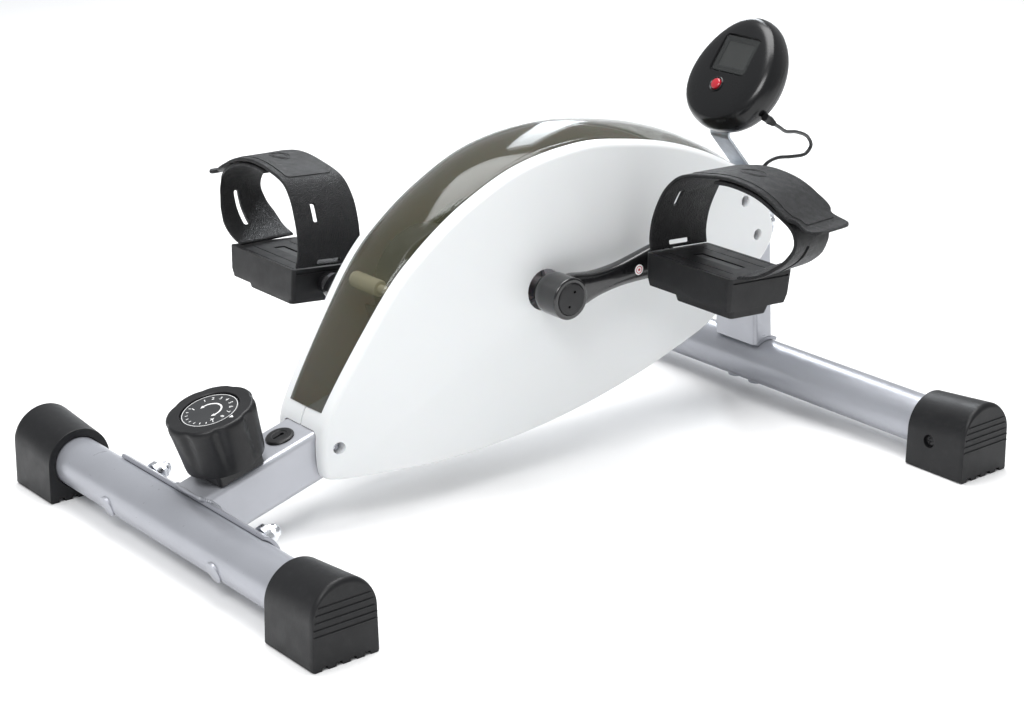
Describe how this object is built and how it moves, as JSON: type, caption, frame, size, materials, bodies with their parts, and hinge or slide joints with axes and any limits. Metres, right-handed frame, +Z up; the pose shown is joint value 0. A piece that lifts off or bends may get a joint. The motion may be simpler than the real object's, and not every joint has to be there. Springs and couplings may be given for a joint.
{
  "type": "pedal exerciser",
  "caption": "Low under-desk pedal exerciser: two stabiliser bars, a white shell with smoked top over a belt drive, strapped pedals, a tension knob and a tilted trip display.",
  "frame": {"origin": "on the floor, at the centre of the footprint of the two stabiliser bars", "axes": "+Z up; +Y from the tension-knob end to the display end; +X to the right side, where the crank arm points to the display"},
  "size_m": [0.5176, 0.6201, 0.3147],
  "materials": {
    "frame_paint": "satin silver-grey powder coat",
    "black_plastic": "fine-textured moulded plastic",
    "gloss_black": "glossy moulded plastic",
    "white_plastic": "semi-gloss white moulded plastic",
    "smoked_plastic": "transparent smoked plastic",
    "strap_rubber": "moulded, leather-grained rubber",
    "zinc": "bright zinc plating",
    "steel": "turned steel",
    "cream_plastic": "plain moulded plastic",
    "dial_print": "printed dial plate",
    "lcd_glass": "grey liquid-crystal panel",
    "clear_lens": "clear window",
    "red_rubber": "glossy red button",
    "belt_rubber": "ribbed belt rubber"
  },
  "bodies": {
    "frame": {"front_stabiliser_tube": "frame_paint", "rear_stabiliser_tube": "frame_paint", "front_saddle_plate": "frame_paint", "rear_saddle_plate": "frame_paint", "main_frame_tube": "frame_paint", "rear_post": "frame_paint", "bottom_bracket_shell": "frame_paint", "front_right_foot_cap": "black_plastic", "front_left_foot_cap": "black_plastic", "rear_right_foot_cap": "black_plastic", "rear_left_foot_cap": "black_plastic", "front_saddle_bolt_right": "zinc", "front_saddle_bolt_left": "zinc", "rear_post_bolt_right": "zinc", "rear_post_bolt_left": "zinc", "post_through_bolt": "zinc", "display_bracket": "zinc", "tube_grommet": "black_plastic", "knob_base": "black_plastic", "dial_plate": "dial_print", "right_side_cover": "white_plastic", "left_side_cover": "white_plastic", "smoked_top_cover": "smoked_plastic", "cover_standoff": "cream_plastic", "right_crank_bearing": "steel", "left_crank_bearing": "steel", "drive_belt": "belt_rubber", "flywheel_bracket": "steel", "tension_cable": "belt_rubber", "speed_sensor": "black_plastic", "cable_grommet": "black_plastic", "display_back_cover": "gloss_black", "display_front_housing": "gloss_black", "display_lens": "clear_lens", "lcd_panel": "lcd_glass", "display_cable": "black_plastic", "cable_strain_relief": "black_plastic"},
    "crank_set": {"crank_axle": "steel", "crank_pulley": "black_plastic", "right_crank_arm": "black_plastic", "left_crank_arm": "black_plastic", "right_crank_cap": "black_plastic", "left_crank_cap": "black_plastic", "right_pedal_spindle": "steel", "left_pedal_spindle": "steel"},
    "flywheel_set": {"flywheel": "steel", "flywheel_axle": "steel", "flywheel_pulley": "black_plastic"},
    "magnet_carrier": {"magnet_bracket": "steel", "brake_magnet": "steel"},
    "tension_knob": {"knob_grip": "black_plastic"},
    "right_pedal": {"right_pedal_body": "black_plastic", "right_pedal_weight": "black_plastic", "right_upper_strap": "strap_rubber", "right_lower_strap": "strap_rubber"},
    "left_pedal": {"left_pedal_body": "black_plastic", "left_pedal_weight": "black_plastic", "left_upper_strap": "strap_rubber", "left_lower_strap": "strap_rubber"},
    "reset_button": {"reset_button": "red_rubber"}
  },
  "joints": [
    {"name": "crank_spin", "type": "hinge", "parent": "frame", "child": "crank_set", "pos_m": [0, 0.0104, 0.1541], "axis": [1, 0, 0], "continuous": true},
    {"name": "flywheel_spin", "type": "hinge", "parent": "frame", "child": "flywheel_set", "pos_m": [0, -0.056, 0.16], "axis": [1, 0, 0], "continuous": true},
    {"name": "right_pedal_spin", "type": "hinge", "parent": "crank_set", "child": "right_pedal", "pos_m": [0, 0.10611, 0.16477], "axis": [1, 0, 0], "continuous": true},
    {"name": "left_pedal_spin", "type": "hinge", "parent": "crank_set", "child": "left_pedal", "pos_m": [0, -0.08531, 0.14343], "axis": [1, 0, 0], "continuous": true},
    {"name": "knob_turn", "type": "hinge", "parent": "frame", "child": "tension_knob", "pos_m": [0, -0.2356, 0.0597], "axis": [0, -0.2714, 0.9625], "range_deg": [0, 270]},
    {"name": "magnet_swing", "type": "hinge", "parent": "frame", "child": "magnet_carrier", "pos_m": [0, -0.093, 0.118], "axis": [1, 0, 0], "range_deg": [0, 9]},
    {"name": "reset_button_press", "type": "slide", "parent": "frame", "child": "reset_button", "axis": [0, 0.8077, -0.5895], "range_m": [0, 0.001], "stiffness_N_per_m": 400}
  ],
  "couplings": [
    {"joint": "flywheel_spin", "follows": "crank_spin", "ratio": 5},
    {"joint": "magnet_swing", "follows": "knob_turn", "ratio": 0.033333}
  ]
}
